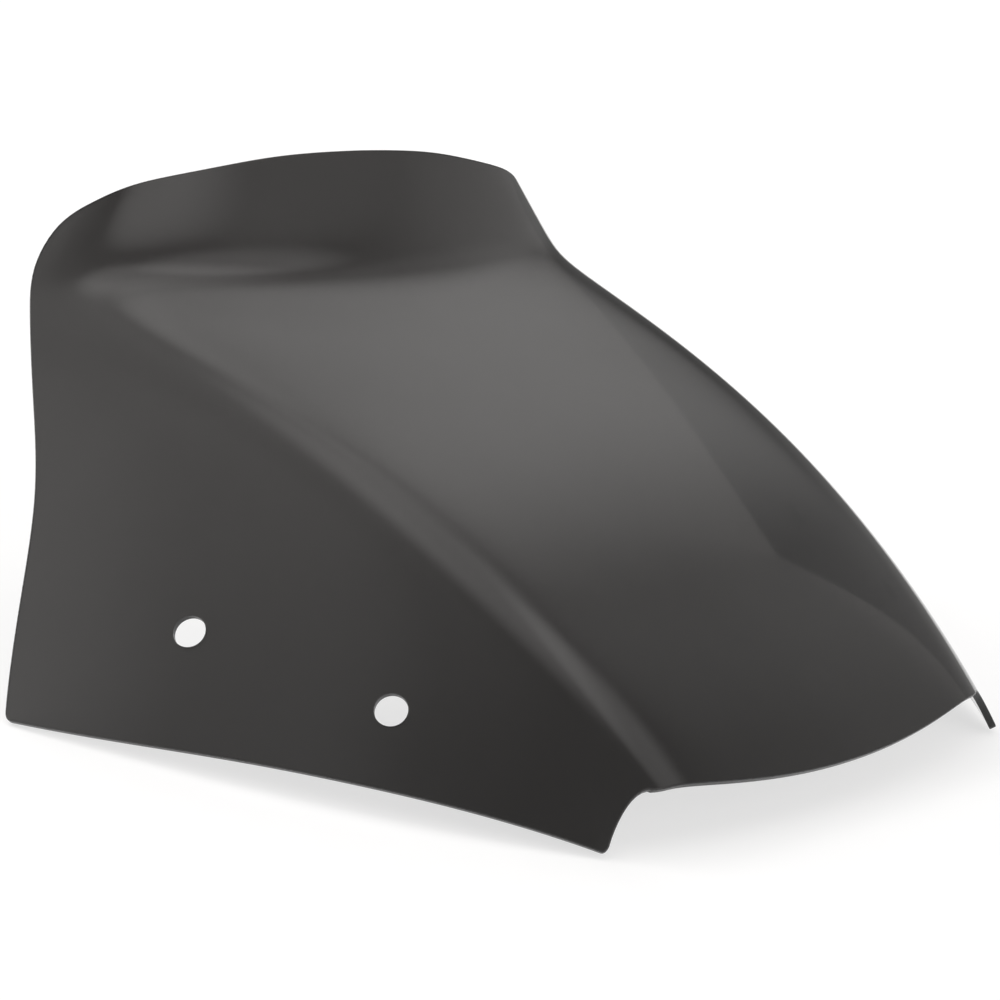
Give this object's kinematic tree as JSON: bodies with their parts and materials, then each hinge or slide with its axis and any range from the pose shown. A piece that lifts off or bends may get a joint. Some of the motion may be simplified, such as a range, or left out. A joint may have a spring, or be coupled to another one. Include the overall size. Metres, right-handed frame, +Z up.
{
  "type": "motorcycle windshield screen",
  "caption": "Smoke-tinted, thermoformed motorcycle fairing windshield with an upturned rear lip, soft side ridges and drilled mounting holes low on its side panels.",
  "frame": {"origin": "on the surface it stands on, under the middle of its bounding box", "axes": "+X across the screen, at right angles to its mirror plane; -Y towards the nose, +Y towards the lip and the rider; +Z up"},
  "size_m": [0.4596, 0.3158, 0.1845],
  "materials": {
    "smoke_plastic": "dark smoke-tinted transparent sheet, polished on both faces"
  },
  "bodies": {
    "root": {"screen": "smoke_plastic"}
  },
  "joints": []
}
